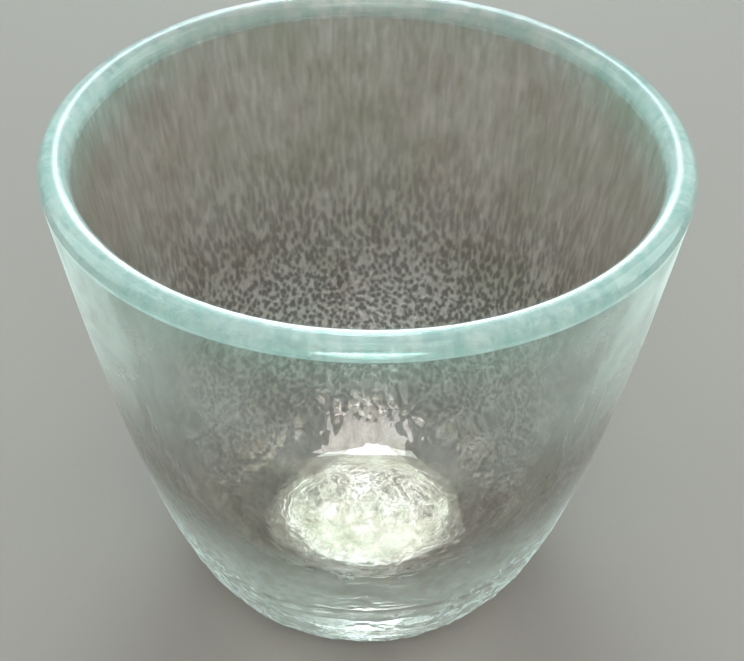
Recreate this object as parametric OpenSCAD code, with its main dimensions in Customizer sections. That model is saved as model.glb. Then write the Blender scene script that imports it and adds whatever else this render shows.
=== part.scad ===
// Heavy hand-made mixing glass: a dimpled bowl, a tinted trail of glass welded
// round its mouth, and a thick foot welded under its floor.
// Millimetres, +Z up. The origin is the centre of the plane the glass stands on.

/* [Overall] */
// Outer diameter across the lip
mouth_d = 96; // [84:1:116]
// Height from the table to the top of the lip
height = 83; // [68:1:100]

/* [Lip] */
// Thickness of the rounded lip, which is also the wall at the mouth
lip_t = 4.4; // [3:0.1:6]
// Height of the tinted trail, measured down from the top of the lip
trail_h = 3.2; // [2.5:0.1:6]
// Lean of the wall at the mouth, from vertical
flare = 10; // [4:1:16]

/* [Outside of the wall] */
// Diameter of the flat that the foot rests on
foot_flat_d = 40; // [32:1:46]
// Length of the level tangent that rounds the heel outwards
heel_reach = 14.5; // [10:0.5:18]
// Length of the tangent that runs down the wall from the mouth
wall_reach = 29; // [20:0.5:36]

/* [Inside of the bowl] */
// Glass under the middle of the bowl's floor, foot included
base_t = 10; // [8:0.5:13]
// Diameter of the flat, smooth middle of the bowl's floor
floor_flat_d = 22; // [6:1:24]
// How much further out the floor's level tangent reaches than the heel's
floor_spread = 0.5; // [-3:0.5:2]
// How much longer the inner wall's tangent is than the outer wall's
wall_spread = 8; // [2:0.5:12]

/* [Foot] */
// Thickness of the foot, up to its weld with the bowl
foot_t = 5; // [4:0.5:7]
// Diameter of the shallow polished hollow under the foot
hollow_d = 24; // [14:1:28]
// Depth of that hollow
hollow_deep = 0.8; // [0.4:0.1:1.5]

/* [Hidden] */

curve_steps = 22;      // straight runs that stand for one side of the wall
lip_steps = 12;        // straight runs round the lip
overcut = 1;           // how far a cutting shape runs past what it cuts
$fn = 96;

mouth_r = mouth_d / 2;
lip_r = lip_t / 2;
lip_centre = [mouth_r - lip_r, height - lip_r];
along_wall = [sin(flare), cos(flare)];
across_wall = [cos(flare), -sin(flare)];

// Places where the rounded lip runs into the wall's two sides
outer_top = lip_centre + lip_r * across_wall;
inner_top = lip_centre - lip_r * across_wall;

// Tangent handles of the two sides, from the bottom up
heel_handle_r = foot_flat_d / 2 + heel_reach;
outer_side = [
    [foot_flat_d / 2, 0],
    [heel_handle_r, 0],
    outer_top - wall_reach * along_wall,
    outer_top
];
inner_side = [
    [floor_flat_d / 2, base_t],
    [heel_handle_r + floor_spread, base_t],
    inner_top - (wall_reach + wall_spread) * along_wall,
    inner_top
];

trail_z = height - trail_h;
hollow_sphere_r = (pow(hollow_d / 2, 2) + pow(hollow_deep, 2)) / (2 * hollow_deep);

function bezier(p, t) =
    pow(1 - t, 3) * p[0] + 3 * pow(1 - t, 2) * t * p[1]
    + 3 * (1 - t) * t * t * p[2] + pow(t, 3) * p[3];

// Points up the outside, over the lip, and down the inside to the axis
function wall_outline() = concat(
    [for (i = [0 : curve_steps]) bezier(outer_side, i / curve_steps)],
    [for (i = [1 : lip_steps - 1])
        let (a = -flare + 180 * i / lip_steps)
        lip_centre + lip_r * [cos(a), sin(a)]],
    [for (i = [curve_steps : -1 : 0]) bezier(inner_side, i / curve_steps)],
    [[0, base_t], [0, 0]]
);

// The whole glass between two levels, turned about its axis
module turned_slice(z_low, z_high) {
    rotate_extrude()
        intersection() {
            polygon(wall_outline());
            translate([0, z_low]) square([mouth_r + overcut, z_high - z_low]);
        }
}

module bowl() {
    color([0.80, 0.83, 0.80, 0.35]) turned_slice(foot_t, trail_z);
}

module lip_trail() {
    color([0.55, 0.82, 0.78, 0.55]) turned_slice(trail_z, height + overcut);
}

module foot() {
    color([0.78, 0.82, 0.79, 0.45])
        difference() {
            turned_slice(0, foot_t);
            translate([0, 0, hollow_deep - hollow_sphere_r]) sphere(hollow_sphere_r);
        }
}

bowl();
lip_trail();
foot();
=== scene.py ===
import math
import bpy
import numpy as np
from mathutils import Matrix, Vector


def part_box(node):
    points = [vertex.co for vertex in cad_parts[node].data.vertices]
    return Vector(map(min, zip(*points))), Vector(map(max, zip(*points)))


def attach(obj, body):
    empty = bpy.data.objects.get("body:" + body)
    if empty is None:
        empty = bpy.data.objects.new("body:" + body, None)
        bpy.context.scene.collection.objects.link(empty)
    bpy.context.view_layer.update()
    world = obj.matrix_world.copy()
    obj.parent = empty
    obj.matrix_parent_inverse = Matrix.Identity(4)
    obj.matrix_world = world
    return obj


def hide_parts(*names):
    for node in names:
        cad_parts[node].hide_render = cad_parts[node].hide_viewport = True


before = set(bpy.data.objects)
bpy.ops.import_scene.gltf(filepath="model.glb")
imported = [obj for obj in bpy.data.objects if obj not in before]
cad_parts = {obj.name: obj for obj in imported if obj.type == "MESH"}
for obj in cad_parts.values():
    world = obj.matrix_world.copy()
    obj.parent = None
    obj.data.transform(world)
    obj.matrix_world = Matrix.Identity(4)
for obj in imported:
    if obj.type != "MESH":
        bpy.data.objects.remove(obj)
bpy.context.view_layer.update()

# ---------------------------------------------------------------------------
# The bowl: one hot bubble of clear soda glass, blown into a pimpled mould, then pulled
# and spun open, which drew the pimples out into streaks up the wall. Its outline is
# turned about the axis here, the mould is pressed into its inside and the tools into its
# heel, and the wall is then parted into the three pieces.
# ---------------------------------------------------------------------------
foot_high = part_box("foot")[1]
trail_low, trail_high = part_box("lip_trail")
mouth_r = trail_high.x
height = trail_high.z
foot_weld_z = foot_high.z
trail_weld_z = trail_low.z

lip_r = 0.0022              # half the wall's thickness at the mouth
flare = math.radians(10)    # lean of the wall at the mouth
foot_flat_r = 0.020         # edge of the flat that the glass stands on
heel_reach = 0.0145         # level tangent that rounds the heel
wall_reach = 0.029          # tangent that runs down the outside from the mouth
base_t = 0.010              # glass under the middle of the floor
floor_flat_r = 0.011        # flat, smooth middle of the floor
floor_spread = 0.0005       # how much further the floor's tangent reaches
wall_spread = 0.008         # how much longer the inside's tangent is
hollow_r = 0.012            # polished hollow under the foot
hollow_deep = 0.0008

curve_steps = 2000          # points along a curved side before it is spaced out
arc_steps = 400
line_steps = 200
fewest_sides = 8            # sides of the smallest ring
on_axis = 1e-6

lip_centre = np.array([mouth_r - lip_r, height - lip_r])
along_wall = np.array([math.sin(flare), math.cos(flare)])
across_wall = np.array([math.cos(flare), -math.sin(flare)])
outer_top = lip_centre + lip_r * across_wall
inner_top = lip_centre - lip_r * across_wall
heel_handle = foot_flat_r + heel_reach
outer_side = (
    (foot_flat_r, 0),
    (heel_handle, 0),
    outer_top - wall_reach * along_wall,
    outer_top,
)
inner_side = (
    inner_top,
    inner_top - (wall_reach + wall_spread) * along_wall,
    (heel_handle + floor_spread, base_t),
    (floor_flat_r, base_t),
)


def bezier(handles):
    """Many points along one curved side, as (radius, height)."""
    t = np.linspace(0, 1, curve_steps)[:, None]
    a, b, c, d = (np.array(handle, float) for handle in handles)
    return (1 - t) ** 3 * a + 3 * (1 - t) ** 2 * t * b + 3 * (1 - t) * t * t * c + t**3 * d


def arc(centre, radius, start, end):
    """Many points round part of a circle in the outline's plane."""
    turn = np.linspace(start, end, arc_steps)[:, None]
    return np.array(centre) + radius * np.hstack([np.cos(turn), np.sin(turn)])


def spaced(points, gap_at):
    """The same line with its points gap_at(height) apart, ends kept."""
    run = np.hypot(*np.diff(points, axis=0).T)
    steps = run / gap_at((points[1:, 1] + points[:-1, 1]) / 2)
    walked = np.concatenate([[0], np.cumsum(steps)])
    stops = np.linspace(0, walked[-1], int(round(walked[-1])) + 1)
    return np.stack([np.interp(stops, walked, points[:, i]) for i in (0, 1)], axis=1)


def even(gap):
    """A gap that is the same at every height."""
    return lambda z: gap + 0 * z


def heel_gap(z):
    """Fine where the tools left marks, wider up the outside."""
    return np.interp(z, [0.016, 0.020], [0.00050, 0.0012])


def heel_girth(z):
    """The gap round the girth of the outside, which needn't be so fine."""
    return max(0.0007, heel_gap(z))


def mould_gap(z):
    """Fine where the dimples are, wider up the wall."""
    return np.interp(z, [0.038, 0.050], [0.00042, 0.00058])


hollow_ball = (hollow_r**2 + hollow_deep**2) / (2 * hollow_deep)
hollow_turn = math.asin(hollow_r / hollow_ball)
hollow = arc((0, hollow_deep - hollow_ball), hollow_ball, math.pi / 2, math.pi / 2 - hollow_turn)
standing_ring = np.linspace((hollow_r, 0), (foot_flat_r, 0), line_steps)
round_lip = arc(lip_centre, lip_r, -flare, math.pi - flare)
floor_middle = np.linspace((floor_flat_r, base_t), (0, base_t), line_steps)

hollow_girth = even(0.0012)
# Each line: its points, how far it is on the inside, and the gap round the girth
lines = [
    (spaced(hollow, even(0.00065)), 0.0, hollow_girth),
    (spaced(standing_ring, even(0.0013)), 0.0, even(0.0013)),
    (spaced(bezier(outer_side), heel_gap), 0.0, heel_girth),
    (spaced(round_lip, even(0.00040)), 0.5, even(0.00065)),
    (spaced(bezier(inner_side), mould_gap), 1.0, mould_gap),
    (spaced(floor_middle, even(0.0006)), 1.0, even(0.0006)),
]
outline = [tuple(lines[0][0][0])]
inside = [0.0]
girth_gap = [hollow_girth(0)]
for line, side, gap in lines:
    for r, z in line[1:]:
        outline.append((r, z))
        inside.append(side)
        girth_gap.append(float(gap(z)))
outline = np.array(outline)
standing_edge = int(np.argmin(np.abs(outline[:, 0] - foot_flat_r) + outline[:, 1]))
top_point = int(np.argmax(outline[:, 1]))
last_ring = len(outline) - 1


def cut_at(first, last, level):
    """The outline point between two others that is nearest a level, moved onto it."""
    k = first + int(np.argmin(np.abs(outline[first:last, 1] - level)))
    a, b = outline[k - 1], outline[k + 1]
    outline[k] = a + (level - a[1]) / (b[1] - a[1]) * (b - a)
    return k


foot_cut = cut_at(standing_edge, top_point, foot_weld_z)
trail_cut_out = cut_at(standing_edge, top_point, trail_weld_z)
trail_cut_in = cut_at(top_point, last_ring - 1, trail_weld_z)

ring_size = []
for (r, z), gap in zip(outline, girth_gap):
    ring_size.append(1 if r < on_axis else max(fewest_sides, round(2 * math.pi * r / gap)))
ring_start = np.concatenate([[0], np.cumsum(ring_size)]).astype(int)
points = np.zeros((ring_start[-1], 3))
side_of_point = np.zeros(ring_start[-1])
for k, ((r, z), count) in enumerate(zip(outline, ring_size)):
    turn = 2 * math.pi * (np.arange(count) + 0.5 * (k % 2)) / count
    rows = slice(ring_start[k], ring_start[k] + count)
    points[rows] = np.stack([r * np.cos(turn), r * np.sin(turn), np.full(count, z)], axis=1)
    side_of_point[rows] = inside[k]


def zip_rings(low, low_count, low_half, high, high_count, high_half):
    """Triangles that join one ring of points to the next, whatever their counts."""
    if low_count == 1:
        return [(low, high + (j + 1) % high_count, high + j) for j in range(high_count)]
    if high_count == 1:
        return [(low + i, low + (i + 1) % low_count, high) for i in range(low_count)]
    faces = []
    i = 0
    j = 0
    while i < low_count or j < high_count:
        a = low + i % low_count
        b = high + j % high_count
        low_turn = (i + 1 + low_half) / low_count
        high_turn = (j + 1 + high_half) / high_count
        if j >= high_count or (i < low_count and low_turn <= high_turn):
            faces.append((a, low + (i + 1) % low_count, b))
            i += 1
        else:
            faces.append((a, high + (j + 1) % high_count, b))
            j += 1
    return faces


faces = []
for k in range(last_ring):
    faces += zip_rings(
        ring_start[k], ring_size[k], 0.5 * (k % 2),
        ring_start[k + 1], ring_size[k + 1], 0.5 * ((k + 1) % 2),
    )
turned = bpy.data.meshes.new("turned_wall")
turned.from_pydata([tuple(p) for p in points], [], faces)
turned.attributes.new("inside", "FLOAT", "POINT").data.foreach_set("value", side_of_point)
whole_wall = bpy.data.objects.new("turned_wall", turned)
bpy.context.scene.collection.objects.link(whole_wall)


def add(tree, kind, x, y, **settings):
    """One node at a place, with its settings."""
    node = tree.nodes.new(kind)
    node.location = (x, y)
    for name, value in settings.items():
        setattr(node, name, value)
    return node


def feed(tree, socket, value):
    """A number or a colour sits on the socket, and another socket is linked to it."""
    if isinstance(value, (int, float, tuple)):
        socket.default_value = value
    else:
        tree.links.new(value, socket)


def maths(tree, operation, x, y, *values):
    """A Math node fed with numbers or sockets."""
    node = add(tree, "ShaderNodeMath", x, y, operation=operation)
    for socket, value in zip(node.inputs, values):
        feed(tree, socket, value)
    return node.outputs[0]


def ease(tree, value, x, y, start, end, low=0.0, high=1.0):
    """A smooth step from low at start to high at end."""
    node = add(tree, "ShaderNodeMapRange", x, y, interpolation_type="SMOOTHSTEP")
    feed(tree, node.inputs["Value"], value)
    feed(tree, node.inputs["From Min"], start)
    feed(tree, node.inputs["From Max"], end)
    feed(tree, node.inputs["To Min"], low)
    feed(tree, node.inputs["To Max"], high)
    return node.outputs["Result"]


def noise(tree, vector, width, x, y, detail=1.0, rough=0.5, seed=None):
    """Cloudy noise whose lumps are about a width apart."""
    node = add(tree, "ShaderNodeTexNoise", x, y)
    if seed is not None:
        node.noise_dimensions = "4D"
        feed(tree, node.inputs["W"], seed)
    tree.links.new(vector, node.inputs["Vector"])
    scale = 1 / width if isinstance(width, float) else maths(tree, "DIVIDE", x - 200, y, 1.0, width)
    feed(tree, node.inputs["Scale"], scale)
    node.inputs["Detail"].default_value = detail
    node.inputs["Roughness"].default_value = rough
    return node.outputs[0]


mould = bpy.data.node_groups.new("mould_relief", "GeometryNodeTree")
mould.interface.new_socket("Geometry", in_out="INPUT", socket_type="NodeSocketGeometry")
mould.interface.new_socket("Geometry", in_out="OUTPUT", socket_type="NodeSocketGeometry")
mould.interface.new_socket("Glass", in_out="INPUT", socket_type="NodeSocketMaterial")
mould_sizes = {
    "Dimple width": 0.0016,
    "Dimple depth": 0.00040,
    "Streak width": 0.0050,
    "Streak depth": 0.00042,
    "Ripple width": 0.0075,
    "Ripple depth": 0.00010,
    "Tool mark width": 0.0024,
    "Tool mark depth": 0.00100,
    "Worn patch radius": 0.020,
    "Worn patch reach": 0.035,
    "Drawn out above": 0.030,
    "Stretch height": 0.015,
    "Dimples fade from": 0.029,
    "Dimples fade to": 0.066,
    "Smooth floor": 0.0185,
    "Rough floor": 0.0225,
    "Streaks fade from": 0.040,
    "Streaks fade to": 0.074,
    "Smooth lip from": height - 0.012,
    "Smooth lip to": height - 0.004,
    "Seed": 7.0,
}
for name in mould_sizes:
    mould.interface.new_socket(name, in_out="INPUT", socket_type="NodeSocketFloat")
given = add(mould, "NodeGroupInput", -1800, 0).outputs
place = add(mould, "GeometryNodeInputPosition", -1800, -400).outputs[0]
xyz = add(mould, "ShaderNodeSeparateXYZ", -1600, -400)
mould.links.new(place, xyz.inputs[0])

dimples_left_high = 0.18            # share of the dimples' depth that is left up the wall
streaks_left_high = 0.25
relief_left_worn = 0.10             # share left on the worn patch at the front
worn_patch_centre = (0, -0.040, 0)
mark_stretch = (0.55, 0.55, 1.0)    # tool marks run level, so they are longer round the girth
marks_fade = (0.010, 0.020)
clear_of_table = (0.0006, 0.004)    # heights over which the outside starts to ripple
dimple_middle = 0.45                # values at which the patterns leave the wall alone
noise_middle = 0.5
surely_inside = 0.75                # the lip's flag is 0.5, so it counts as neither side
surely_outside = 0.25

# Above a level, height is squeezed more and more, so the pattern is drawn out upwards
higher = maths(mould, "SUBTRACT", -1500, -500, xyz.outputs["Z"], given["Drawn out above"])
kept = maths(mould, "MINIMUM", -1400, -600, xyz.outputs["Z"], given["Drawn out above"])
higher = maths(mould, "MAXIMUM", -1450, -500, higher, 0.0)
stretches = maths(mould, "DIVIDE", -1400, -500, higher, given["Stretch height"])
falling = maths(mould, "MULTIPLY", -1200, -500, stretches, -1.0)
falling = maths(mould, "EXPONENT", -1000, -500, falling)
squeezed = maths(mould, "SUBTRACT", -800, -500, 1.0, falling)
squeezed = maths(mould, "MULTIPLY", -600, -500, squeezed, given["Stretch height"])
squeezed = maths(mould, "ADD", -500, -500, squeezed, kept)
drawn = add(mould, "ShaderNodeCombineXYZ", -400, -400)
mould.links.new(xyz.outputs["X"], drawn.inputs["X"])
mould.links.new(xyz.outputs["Y"], drawn.inputs["Y"])
mould.links.new(squeezed, drawn.inputs["Z"])
drawn = drawn.outputs[0]

pimple = add(mould, "ShaderNodeTexVoronoi", -100, -200, voronoi_dimensions="4D", feature="SMOOTH_F1")
mould.links.new(drawn, pimple.inputs["Vector"])
mould.links.new(given["Seed"], pimple.inputs["W"])
feed(mould, pimple.inputs["Scale"], maths(mould, "DIVIDE", -300, -250, 1.0, given["Dimple width"]))
pimple.inputs["Smoothness"].default_value = 0.35
streak = noise(mould, drawn, given["Streak width"], -100, -500, 1.0, 0.5, given["Seed"])
ripple = noise(mould, place, given["Ripple width"], -100, -800, 1.0, 0.5, given["Seed"])

in_plan = add(mould, "ShaderNodeVectorMath", -700, 700, operation="MULTIPLY")
mould.links.new(place, in_plan.inputs[0])
in_plan.inputs[1].default_value = (1, 1, 0)
off_axis = add(mould, "ShaderNodeVectorMath", -500, 700, operation="LENGTH")
mould.links.new(in_plan.outputs[0], off_axis.inputs[0])
off_axis = off_axis.outputs["Value"]
off_floor = ease(mould, off_axis, -300, 700, given["Smooth floor"], given["Rough floor"])
up = xyz.outputs["Z"]
dimpled = ease(
    mould, up, -100, 100, given["Dimples fade from"], given["Dimples fade to"], 1.0, dimples_left_high
)
worn_patch = add(mould, "ShaderNodeVectorMath", -500, 500, operation="DISTANCE")
mould.links.new(in_plan.outputs[0], worn_patch.inputs[0])
worn_patch.inputs[1].default_value = worn_patch_centre
worn = worn_patch.outputs["Value"]
worn = ease(
    mould, worn, -100, -50, given["Worn patch radius"], given["Worn patch reach"], relief_left_worn, 1.0
)
dimpled = maths(mould, "MULTIPLY", 100, 100, dimpled, worn)
dimpled = maths(mould, "MULTIPLY", 0, 300, dimpled, off_floor)
streaked = ease(
    mould, up, -300, 900, given["Streaks fade from"], given["Streaks fade to"], 1.0, streaks_left_high
)
streaked = maths(mould, "MULTIPLY", -100, 900, streaked, off_floor)
streaked = maths(mould, "MULTIPLY", 0, 900, streaked, worn)
below_lip = ease(mould, up, 100, 500, given["Smooth lip from"], given["Smooth lip to"], 1.0, 0.0)
off_table = ease(mould, up, 200, -900, *clear_of_table)
side_flag = add(mould, "GeometryNodeInputNamedAttribute", -100, 300, data_type="FLOAT")
side_flag.inputs["Name"].default_value = "inside"
inner_side_only = maths(mould, "GREATER_THAN", 100, 300, side_flag.outputs[0], surely_inside)

level_ground = add(mould, "ShaderNodeVectorMath", -400, -1100, operation="MULTIPLY")
mould.links.new(place, level_ground.inputs[0])
level_ground.inputs[1].default_value = mark_stretch
level_ground = level_ground.outputs[0]
mark = noise(mould, level_ground, given["Tool mark width"], -100, -1100, 1.0, 0.5, given["Seed"])
marked = ease(mould, up, 100, -1300, *marks_fade, 1.0, 0.0)
outside_only = maths(mould, "LESS_THAN", 300, -1300, side_flag.outputs[0], surely_outside)


def pressed_by(pattern, middle, depth, y, *masks):
    """How far a pattern pushes the wall: its depth, faded by each mask in turn."""
    amount = maths(mould, "SUBTRACT", 100, y, pattern, middle)
    amount = maths(mould, "MULTIPLY", 200, y, amount, depth)
    for step, mask in enumerate(masks):
        amount = maths(mould, "MULTIPLY", 300 + 100 * step, y, amount, mask)
    return amount


dimple_push = pressed_by(pimple.outputs["Distance"], dimple_middle, given["Dimple depth"], -200, dimpled)
streak_push = pressed_by(streak, noise_middle, given["Streak depth"], -500, streaked)
inside_push = maths(mould, "ADD", 400, -300, dimple_push, streak_push)
inside_push = maths(mould, "MULTIPLY", 500, -300, inside_push, inner_side_only)
inside_push = maths(mould, "MULTIPLY", 600, -300, inside_push, below_lip)
ripple_push = pressed_by(ripple, noise_middle, given["Ripple depth"], -700, off_table)
mark_push = pressed_by(
    mark, noise_middle, given["Tool mark depth"], -1100, marked, off_table, outside_only
)
outside_push = maths(mould, "ADD", 700, -900, ripple_push, mark_push)
push = maths(mould, "ADD", 800, -400, inside_push, outside_push)

outwards = add(mould, "GeometryNodeInputNormal", 700, -600)
offset = add(mould, "ShaderNodeVectorMath", 900, -400, operation="SCALE")
mould.links.new(outwards.outputs[0], offset.inputs[0])
mould.links.new(push, offset.inputs["Scale"])


def keep(geometry, name, value, kind, x, y):
    """The geometry with a value stored on every point under a name."""
    store = add(mould, "GeometryNodeStoreNamedAttribute", x, y, data_type=kind, domain="POINT")
    store.inputs["Name"].default_value = name
    mould.links.new(geometry, store.inputs["Geometry"])
    mould.links.new(value, store.inputs["Value"])
    return store.outputs[0]


dimpled_inside = maths(mould, "MULTIPLY", 700, 200, dimpled, inner_side_only)
marked_wall = keep(given["Geometry"], "dimple", dimpled_inside, "FLOAT", 900, 200)
marked_wall = keep(marked_wall, "drawn", drawn, "FLOAT_VECTOR", 1000, 400)
press_in = add(mould, "GeometryNodeSetPosition", 1100, 0)
mould.links.new(marked_wall, press_in.inputs["Geometry"])
mould.links.new(offset.outputs[0], press_in.inputs["Offset"])
realize = add(mould, "GeometryNodeRealizeInstances", 1300, 0)
mould.links.new(press_in.outputs[0], realize.inputs[0])
set_glass = add(mould, "GeometryNodeSetMaterial", 1500, 0)
mould.links.new(realize.outputs[0], set_glass.inputs["Geometry"])
mould.links.new(given["Glass"], set_glass.inputs["Material"])
mould_out = add(mould, "NodeGroupOutput", 1700, 0)
mould.links.new(set_glass.outputs[0], mould_out.inputs[0])

bowl_glass = bpy.data.materials.new("bowl_glass")
mould_input = {}
for item in mould.interface.items_tree:
    if item.in_out == "INPUT":
        mould_input[item.name] = item.identifier
press = whole_wall.modifiers.new("press", "NODES")
press.node_group = mould
for name, value in mould_sizes.items():
    press[mould_input[name]] = value
press[mould_input["Glass"]] = bowl_glass
bpy.context.view_layer.update()
evaluated_wall = whole_wall.evaluated_get(bpy.context.evaluated_depsgraph_get())
pressed = bpy.data.meshes.new_from_object(evaluated_wall)
bpy.data.objects.remove(whole_wall)


def read_points(data, prop, width):
    """One property of every point, as rows."""
    values = np.zeros(len(data) * width)
    data.foreach_get(prop, values)
    return values.reshape(-1, width)


pressed_points = read_points(pressed.vertices, "co", 3)
pressed_normals = read_points(pressed.vertex_normals, "vector", 3)
pressed_dimple = read_points(pressed.attributes["dimple"].data, "value", 1)[:, 0]
pressed_drawn = read_points(pressed.attributes["drawn"].data, "vector", 3)
weld_gap = 2e-6             # air left between two welded pieces


def parted_piece(name, rings, glass):
    """A closed mesh from rings of the pressed wall, each (ring, lift). A ring of None is a
    weld's middle, at the height given as its lift. Faces that jump a ring are a weld."""
    where, normal, dimple, drawn_to, outer = [], [], [], [], []
    start, size, half = [], [], []
    for ring, lift in rings:
        start.append(len(where))
        if ring is None:
            where.append((0, 0, lift))
            normal.append((0, 0, 0))
            dimple.append(0.0)
            drawn_to.append((0, 0, 0))
            outer.append(0.0)
            size.append(1)
            half.append(0)
            continue
        for v in range(ring_start[ring], ring_start[ring + 1]):
            x, y, z = pressed_points[v]
            where.append((x, y, z + lift))
            normal.append(tuple(pressed_normals[v]))
            dimple.append(pressed_dimple[v])
            drawn_to.append(tuple(pressed_drawn[v]))
            outer.append(max(0.0, 1 - 2 * inside[ring]))
        size.append(ring_size[ring])
        half.append(0.5 * (ring % 2))
    faces, weld = [], []
    closes = min(size[0], size[-1]) > 1
    for k in range(len(rings) if closes else len(rings) - 1):
        n = (k + 1) % len(rings)
        a, b = rings[k][0], rings[n][0]
        new = zip_rings(start[k], size[k], half[k], start[n], size[n], half[n])
        faces += new
        weld += [a is None or b is None or b != a + 1] * len(new)
    mesh = bpy.data.meshes.new(name)
    mesh.from_pydata(where, [], faces)
    mesh.attributes.new("weld", "FLOAT", "FACE").data.foreach_set("value", np.array(weld, float))
    mesh.attributes.new("dimple", "FLOAT", "POINT").data.foreach_set("value", np.array(dimple))
    mesh.attributes.new("outer", "FLOAT", "POINT").data.foreach_set("value", np.array(outer))
    flat_list = np.array(drawn_to, float).ravel()
    mesh.attributes.new("drawn", "FLOAT_VECTOR", "POINT").data.foreach_set("vector", flat_list)
    mesh.polygons.foreach_set("use_smooth", np.ones(len(faces), bool))
    mesh.materials.append(glass)
    mesh.update()
    # A weld's rim is a sharp edge, and the wall keeps one smooth normal across it
    kinds = {}
    for polygon in mesh.polygons:
        for key in polygon.edge_keys:
            kinds.setdefault(key, set()).add(weld[polygon.index])
    sharp = [len(kinds[tuple(sorted(edge.vertices))]) == 2 for edge in mesh.edges]
    mesh.attributes.new("sharp_edge", "BOOLEAN", "EDGE").data.foreach_set("value", np.array(sharp))
    corners = []
    for polygon in mesh.polygons:
        flat = tuple(polygon.normal)
        corners += [flat if weld[polygon.index] else normal[v] for v in polygon.vertices]
    mesh.normals_split_custom_set(corners)
    piece = bpy.data.objects.new(name, mesh)
    bpy.context.scene.collection.objects.link(piece)
    return piece


bowl_rings = [(None, foot_weld_z + weld_gap / 2)]
for k in range(foot_cut, trail_cut_out + 1):
    bowl_rings.append((k, {foot_cut: weld_gap / 2, trail_cut_out: -weld_gap / 2}.get(k, 0)))
for k in range(trail_cut_in, last_ring + 1):
    bowl_rings.append((k, -weld_gap / 2 if k == trail_cut_in else 0))
bowl = parted_piece("bowl_glass_wall", bowl_rings, bowl_glass)


def new_group(name, inputs, outputs):
    """A shader node group with named inputs and outputs."""
    group = bpy.data.node_groups.new(name, "ShaderNodeTree")
    kinds = {float: "NodeSocketFloat", tuple: "NodeSocketColor"}
    for label, value in inputs.items():
        socket = group.interface.new_socket(label, in_out="INPUT", socket_type=kinds[type(value)])
        socket.default_value = value
    for label, kind in outputs.items():
        group.interface.new_socket(label, in_out="OUTPUT", socket_type=kind)
    given = add(group, "NodeGroupInput", -1600, 0).outputs
    out = add(group, "NodeGroupOutput", 900, 0).inputs
    return group, given, out


def mixed(tree, x, y, blend, factor, a, b):
    """A colour mix."""
    node = add(tree, "ShaderNodeMix", x, y, data_type="RGBA", blend_type=blend)
    feed(tree, node.inputs["Factor"], factor)
    feed(tree, node.inputs["A"], a)
    feed(tree, node.inputs["B"], b)
    return node.outputs["Result"]


# Colour of the glass: clear low down and darker up the wall, sea green at the trail, with cords
# of darker glass drawn out upwards, and painted shade: a dark spot in every pimple's pit for its shading
darker_wall_zone = (0.20, 0.52)           # share of the height over which the glass turns darker
trail_zone = (0.85, 0.965)
back_zone = (0.008, 0.044)          # how far behind the axis the trail thins out
trail_left_behind = 0.12
cord_pull = (1, 1, 0.3)             # cords are about three times as long as they are wide
cord_edges = (0.36, 0.66)           # noise values where each pattern starts and is full
patch_width = 0.011
patch_edges = (0.38, 0.68)
patch_strength = 0.55
hue_width = 0.016
hue_edges = (0.42, 0.58)
pit_pattern_slope = -1.6
pit_pattern_level = 1.45
# where the painted shade in each pimple's pit starts and where it is full
pit_shade_edges = (0.54, 0.16)
colour_group, given, out = new_group(
    "drawn_glass_colour",
    {
        "Low tint": (1.0, 1.0, 0.98, 1.0),
        "Wall tint": (0.69, 0.66, 0.622, 1.0),
        "Trail tint": (0.78, 1.0, 0.95, 1.0),
        "Top height": 0.083,
        "Cord tint": (0.72, 0.69, 0.64, 1.0),
        "Cord width": 0.0021,
        "Patch tint": (0.64, 0.69, 0.56, 1.0),
        "Other patch tint": (0.74, 0.64, 0.60, 1.0),
        "Shaded pit width": 0.0009,
        "Painted pit shade": (0.16, 0.16, 0.155, 1.0),
    },
    {"Color": "NodeSocketColor", "Pit bump height": "NodeSocketFloat"},
)
spot = add(colour_group, "ShaderNodeTexCoord", -1600, 400).outputs["Object"]
level = add(colour_group, "ShaderNodeSeparateXYZ", -1400, 400)
colour_group.links.new(spot, level.inputs[0])
climb = maths(colour_group, "DIVIDE", -1200, 400, level.outputs["Z"], given["Top height"])
to_wall = ease(colour_group, climb, -1000, 500, *darker_wall_zone)
to_trail = ease(colour_group, climb, -1000, 300, *trail_zone)
# The trail was laid on by hand, and is thin round the back of the mouth
round_back = ease(colour_group, level.outputs["Y"], -1000, 100, *back_zone, 1.0, trail_left_behind)
to_trail = maths(colour_group, "MULTIPLY", -800, 300, to_trail, round_back)
wash = mixed(colour_group, -600, 500, "MIX", to_wall, given["Low tint"], given["Wall tint"])
wash = mixed(colour_group, -400, 400, "MIX", to_trail, wash, given["Trail tint"])
drawn_spot = add(colour_group, "ShaderNodeAttribute", -1600, -300, attribute_name="drawn")
drawn_spot = drawn_spot.outputs["Vector"]
pull = add(colour_group, "ShaderNodeMapping", -1400, -700)
colour_group.links.new(spot, pull.inputs["Vector"])
pull.inputs["Scale"].default_value = cord_pull
cords = noise(colour_group, pull.outputs[0], given["Cord width"], -1000, -700, 6.0, 0.75)
cords = ease(colour_group, cords, -800, -700, *cord_edges)
low_cords = maths(colour_group, "MULTIPLY", -600, -700, cords, to_wall)
wash = mixed(colour_group, -200, 300, "MULTIPLY", low_cords, wash, given["Cord tint"])
patches = noise(colour_group, spot, patch_width, -1000, -1000, 4.0, 0.6)
patches = ease(colour_group, patches, -800, -1000, *patch_edges, 0.0, patch_strength)
hue = noise(colour_group, spot, hue_width, -1000, -1200, 2.0, 0.5)
hue = ease(colour_group, hue, -800, -1200, *hue_edges)
patch_tint = mixed(
    colour_group, -400, -1000, "MIX", hue, given["Patch tint"], given["Other patch tint"]
)
wash = mixed(colour_group, 0, 300, "MULTIPLY", patches, wash, patch_tint)
zone = add(colour_group, "ShaderNodeAttribute", -1600, -100, attribute_name="dimple").outputs["Fac"]
pits = add(colour_group, "ShaderNodeTexVoronoi", -1200, -500, feature="F1")
colour_group.links.new(drawn_spot, pits.inputs["Vector"])
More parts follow.
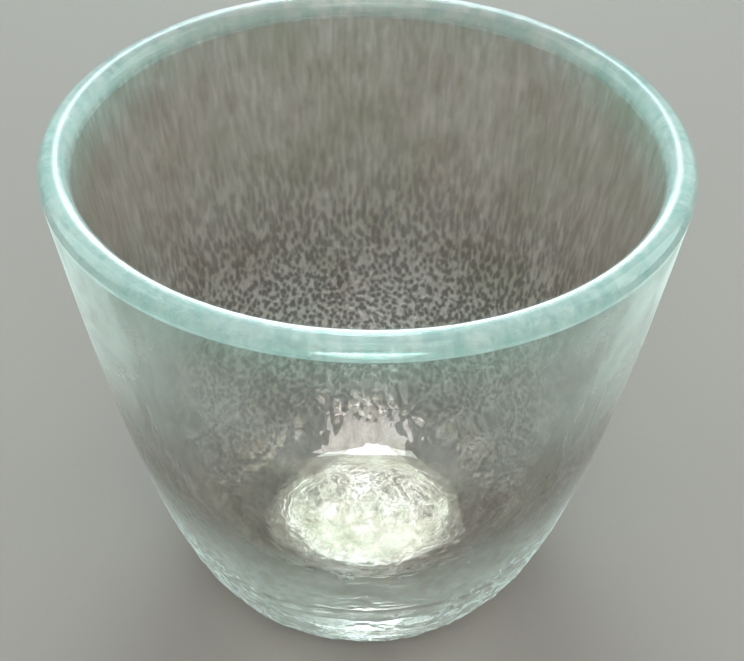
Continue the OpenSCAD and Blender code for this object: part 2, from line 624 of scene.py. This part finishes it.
pit_scale = maths(colour_group, "DIVIDE", -1400, -500, 1.0, given["Shaded pit width"])
feed(colour_group, pits.inputs["Scale"], pit_scale)
pit_pattern = noise(colour_group, drawn_spot, given["Shaded pit width"], -1000, -300, 2.0)
pit_pattern = maths(colour_group, "MULTIPLY_ADD", -900, -400, pit_pattern, pit_pattern_slope, pit_pattern_level)
pit_pattern = maths(colour_group, "MULTIPLY", -800, -400, pit_pattern, pits.outputs["Distance"])
# Painted shade: the pits of the pimples are darkened in the base colour, standing in for the shade that
# the dimples catch
painted_pit_shade = ease(colour_group, pit_pattern, -800, -300, *pit_shade_edges)
painted_pit_shade = maths(colour_group, "MULTIPLY", -600, -200, painted_pit_shade, zone)
wash = mixed(colour_group, 200, 300, "MULTIPLY", painted_pit_shade, wash, given["Painted pit shade"])
feed(colour_group, out["Color"], wash)
feed(colour_group, out["Pit bump height"], maths(colour_group, "MULTIPLY", 200, -300, pit_pattern, zone))

# Where the surface is polished by the fire, where it is clouded under the trail, and where
# the heel is scuffed
polish_reach = 1.35                 # the polish has gone at this many times its radius
wisp_width = 0.009
wisp_edges = (0.2, 0.7)
least_wisp = 0.55
speckle_edges = (0.35, 0.68)
least_speckle = 0.10
most_speckle = 0.85
finish_group, given, out = new_group(
    "fire_finish",
    {
        "Polished floor radius": 0.020,
        "Haze from": 0.041,
        "Haze to": 0.075,
        "Worn heel from": 0.040,
        "Worn heel to": 0.016,
        "Worn heel speckle": 0.0016,
    },
    {"Polish": "NodeSocketFloat", "Haze": "NodeSocketFloat"},
)
spot = add(finish_group, "ShaderNodeTexCoord", -1600, 400).outputs["Object"]
level = add(finish_group, "ShaderNodeSeparateXYZ", -1400, 400)
finish_group.links.new(spot, level.inputs[0])
flat = add(finish_group, "ShaderNodeVectorMath", -1400, 700, operation="MULTIPLY")
finish_group.links.new(spot, flat.inputs[0])
flat.inputs[1].default_value = (1, 1, 0)
radius = add(finish_group, "ShaderNodeVectorMath", -1200, 700, operation="LENGTH")
finish_group.links.new(flat.outputs[0], radius.inputs[0])
radius = radius.outputs["Value"]
outer = add(finish_group, "ShaderNodeAttribute", -1600, -100, attribute_name="outer").outputs["Fac"]
wider = maths(finish_group, "MULTIPLY", -1000, 900, given["Polished floor radius"], polish_reach)
polish = ease(finish_group, radius, -800, 800, given["Polished floor radius"], wider, 1.0, 0.0)
inner = maths(finish_group, "SUBTRACT", -800, 600, 1.0, outer)
feed(finish_group, out["Polish"], maths(finish_group, "MULTIPLY", -600, 700, polish, inner))
haze = ease(finish_group, level.outputs["Z"], -800, 300, given["Haze from"], given["Haze to"])
wisps = noise(finish_group, spot, wisp_width, -800, 0, 3.0, 0.6)
wisps = ease(finish_group, wisps, -600, 0, *wisp_edges, least_wisp, 1.0)
haze = maths(finish_group, "MULTIPLY", -600, 200, haze, wisps)
scuffed = ease(
    finish_group, level.outputs["Z"], -800, -300, given["Worn heel from"], given["Worn heel to"]
)
speckle = noise(finish_group, spot, given["Worn heel speckle"], -800, -500, 3.0, 0.7)
speckle = ease(finish_group, speckle, -600, -500, *speckle_edges, least_speckle, most_speckle)
scuffed = maths(finish_group, "MULTIPLY", -600, -300, scuffed, speckle)
haze = maths(finish_group, "MAXIMUM", -500, 0, haze, scuffed)
feed(finish_group, out["Haze"], maths(finish_group, "MULTIPLY", -400, 200, haze, outer))


glass_ior = 1.5
weld_ior_drop = -0.5        # brings a weld's IOR down to that of air


def melt(glass, transmission, roughness, glint, deep_colour, density, **finish):
    """Fills a glass material: the two groups, its Principled shader and its depth of colour."""
    glass.use_nodes = True
    tree = glass.node_tree
    shader = tree.nodes["Principled BSDF"]
    shader.inputs["Metallic"].default_value = 0.0
    shader.inputs["Roughness"].default_value = roughness
    shader.inputs["Transmission Weight"].default_value = transmission
    shader.inputs["Specular Tint"].default_value = (*glint, 1)
    shader.inputs["Coat Roughness"].default_value = 0.0
    shader.inputs["Coat IOR"].default_value = 4.0
    shader.inputs["Sheen Roughness"].default_value = 0.5
    shader.inputs["Sheen Tint"].default_value = (0.75, 1.0, 0.95, 1)
    colour = add(tree, "ShaderNodeGroup", -700, 300, node_tree=colour_group)
    surface = add(tree, "ShaderNodeGroup", -700, -100, node_tree=finish_group)
    for name, value in finish.items():
        socket = colour.inputs.get(name.replace("_", " ")) or surface.inputs[name.replace("_", " ")]
        socket.default_value = value
    tree.links.new(colour.outputs["Color"], shader.inputs["Base Color"])
    tree.links.new(surface.outputs["Polish"], shader.inputs["Coat Weight"])
    tree.links.new(surface.outputs["Haze"], shader.inputs["Sheen Weight"])
    bump = add(tree, "ShaderNodeBump", -300, -400)
    bump.inputs["Distance"].default_value = 0.0001
    tree.links.new(colour.outputs["Pit bump height"], bump.inputs["Height"])
    tree.links.new(bump.outputs[0], shader.inputs["Normal"])
    # Light passes a weld unbent, because hot glass closed on hot glass there
    weld = add(tree, "ShaderNodeAttribute", -700, -500, attribute_name="weld").outputs["Fac"]
    ior = maths(tree, "MULTIPLY_ADD", -300, -600, weld, weld_ior_drop, glass_ior)
    tree.links.new(ior, shader.inputs["IOR"])
    depth = add(tree, "ShaderNodeVolumeAbsorption", 0, -500)
    depth.inputs["Color"].default_value = (*deep_colour, 1)
    depth.inputs["Density"].default_value = density
    tree.links.new(depth.outputs[0], tree.nodes["Material Output"].inputs["Volume"])


melt(bowl_glass, 0.94, 0.0, (1, 1, 1), (0.80, 0.86, 0.82), 12.0)
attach(bowl, "root")
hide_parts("bowl")

# ---------------------------------------------------------------------------
# The lip trail: a thread of sea-green glass wound hot round the cracked-off mouth and
# melted into a rounded bead. It is welded to the bowl all the way round.
# ---------------------------------------------------------------------------
lip_glass = bpy.data.materials.new("lip_glass")
lip_rings = []
for k in range(trail_cut_out, trail_cut_in + 1):
    lip_rings.append((k, weld_gap / 2 if k in (trail_cut_out, trail_cut_in) else 0))
lip_trail = parted_piece("lip_trail_glass", lip_rings, lip_glass)
melt(
    lip_glass, 0.76, 0.15, (0.35, 0.45, 0.43), (0.62, 0.92, 0.87), 8.0,
    Trail_tint=(0.86, 0.97, 0.93, 1),
    Cord_tint=(0.64, 0.79, 0.78, 1),
    Patch_tint=(0.74, 0.86, 0.85, 1),
    Other_patch_tint=(0.80, 0.92, 0.90, 1),
)
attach(lip_trail, "root")
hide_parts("lip_trail")

# ---------------------------------------------------------------------------
# The foot: a second gather of the same clear glass, pressed on hot under the bowl. Its
# underside is ground on a wheel, all but the middle of the hollow, which is polished.
# ---------------------------------------------------------------------------
foot_glass = bpy.data.materials.new("foot_glass")
foot_rings = [(k, -weld_gap / 2 if k == foot_cut else 0) for k in range(foot_cut + 1)]
foot_rings.append((None, foot_weld_z - weld_gap / 2))
foot = parted_piece("foot_disc_glass", foot_rings, foot_glass)
melt(foot_glass, 0.97, 0.0, (1, 1, 1), (0.80, 0.86, 0.82), 12.0, Polished_floor_radius=0.0001)
ground = bpy.data.materials.new("ground_ring")
ground.use_nodes = True
tree = ground.node_tree
shader = tree.nodes["Principled BSDF"]
shader.inputs["Roughness"].default_value = 0.75
spot = add(tree, "ShaderNodeTexCoord", -1200, 0).outputs["Object"]
chalk = add(tree, "ShaderNodeValToRGB", -400, 0)
tree.links.new(noise(tree, spot, 0.0009, -700, 0, 4.0, 0.7), chalk.inputs[0])
chalk.color_ramp.elements[0].position = 0.30
chalk.color_ramp.elements[0].color = (0.48, 0.49, 0.46, 1)
chalk.color_ramp.elements[1].position = 0.70
chalk.color_ramp.elements[1].color = (0.80, 0.82, 0.78, 1)
tree.links.new(chalk.outputs["Color"], shader.inputs["Base Color"])
wheel = add(tree, "ShaderNodeTexWave", -700, -300, wave_type="RINGS", rings_direction="Z")
tree.links.new(spot, wheel.inputs["Vector"])
wheel.inputs["Scale"].default_value = 900.0
wheel.inputs["Distortion"].default_value = 2.0
wheel_marks = add(tree, "ShaderNodeBump", -400, -300)
wheel_marks.inputs["Distance"].default_value = 0.00005
tree.links.new(wheel.outputs["Fac"], wheel_marks.inputs["Height"])
tree.links.new(wheel_marks.outputs[0], shader.inputs["Normal"])
foot.data.materials.append(ground)
ground_below = 0.0009       # only the underside lies lower
clear_middle_r = 0.0045     # the wheel leaves the middle of the hollow clear
for polygon in foot.data.polygons:
    x, y, z = polygon.center
    if z < ground_below and clear_middle_r < math.hypot(x, y) < foot_flat_r:
        polygon.material_index = 1
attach(foot, "root")
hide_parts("foot")

# ---------------------------------------------------------------------------
# Stage: a plain pale floor, a plain soft studio light and the camera.
# ---------------------------------------------------------------------------
scene = bpy.context.scene
floor_half = 3.0
floor_z = -1e-4             # a hair under the glass, so that the two don't share a face
floor_mesh = bpy.data.meshes.new("floor")
floor_corners = []
for x, y in ((-1, -1), (1, -1), (1, 1), (-1, 1)):
    floor_corners.append((x * floor_half, y * floor_half, floor_z))
floor_mesh.from_pydata(floor_corners, [], [(0, 1, 2, 3)])
floor = bpy.data.objects.new("floor", floor_mesh)
scene.collection.objects.link(floor)
paint = bpy.data.materials.new("floor_paint")
paint.use_nodes = True
paint_shader = paint.node_tree.nodes["Principled BSDF"]
paint_shader.inputs["Base Color"].default_value = (0.200, 0.187, 0.170, 1)
paint_shader.inputs["Roughness"].default_value = 0.9
paint_shader.inputs["Specular IOR Level"].default_value = 0.1
floor_mesh.materials.append(paint)

world = bpy.data.worlds.new("soft_room")
scene.world = world
world.use_nodes = True
room = world.node_tree.nodes["Background"]
room.inputs["Color"].default_value = (0.9, 0.97, 1.0, 1)
room.inputs["Strength"].default_value = 0.50


def softbox(name, width, length, power, place, aim, colour):
    """One soft rectangular lamp, turned to face a point."""
    lamp = bpy.data.lights.new(name, "AREA")
    lamp.shape = "RECTANGLE"
    lamp.size = width
    lamp.size_y = length
    lamp.energy = power
    lamp.color = colour
    box = bpy.data.objects.new(name, lamp)
    box.location = place
    box.rotation_euler = (Vector(aim) - Vector(place)).to_track_quat("-Z", "Y").to_euler()
    box.visible_camera = False
    scene.collection.objects.link(box)


softbox("back_softbox", 0.30, 0.90, 2.6, (-0.01, 0.51, 0.42), (0, 0, 0.02), (0.82, 0.97, 1.0))
softbox("strip_light", 0.12, 0.90, 3.3, (-0.01, 0.50, 0.41), (0, 0, 0.02), (0.76, 0.95, 1.0))
softbox("top_softbox", 0.30, 0.75, 1.5, (-0.02, -0.10, 0.65), (0, 0, 0), (1.0, 1.0, 1.0))
softbox("front_softbox", 0.60, 0.60, 5.6, (0.05, -0.70, 0.60), (0, 0, 0), (1.0, 0.99, 0.97))
softbox("left_softbox", 0.40, 0.60, 2.0, (-0.60, 0.10, 0.35), (0, 0, 0.05), (0.94, 1.0, 0.98))
softbox("right_softbox", 0.40, 0.60, 2.5, (0.60, 0.10, 0.35), (0, 0, 0.05), (0.96, 1.0, 0.98))

camera_data = bpy.data.cameras.new("camera")
camera_data.sensor_width = 36
camera_data.lens = 82.3
camera_data.shift_x = -0.0806
camera_data.shift_y = 0.0403
camera_data.clip_start = 0.01
camera = bpy.data.objects.new("camera", camera_data)
camera.location = (0, -0.2132, 0.2151)
looks_down = 39.14
turn = Matrix.Rotation(math.radians(-2.79), 4, "Z")
tilt = Matrix.Rotation(math.radians(90 - looks_down), 4, "X")
roll = Matrix.Rotation(math.radians(2.40), 4, "Z")
camera.rotation_euler = (turn @ tilt @ roll).to_euler()
scene.collection.objects.link(camera)
scene.camera = camera

scene.cycles.max_bounces = 32
scene.cycles.transmission_bounces = 32
scene.cycles.glossy_bounces = 12
scene.cycles.diffuse_bounces = 3
scene.cycles.transparent_max_bounces = 16
scene.cycles.sample_clamp_indirect = 6.0
scene.cycles.blur_glossy = 0.3
scene.view_settings.view_transform = "Standard"
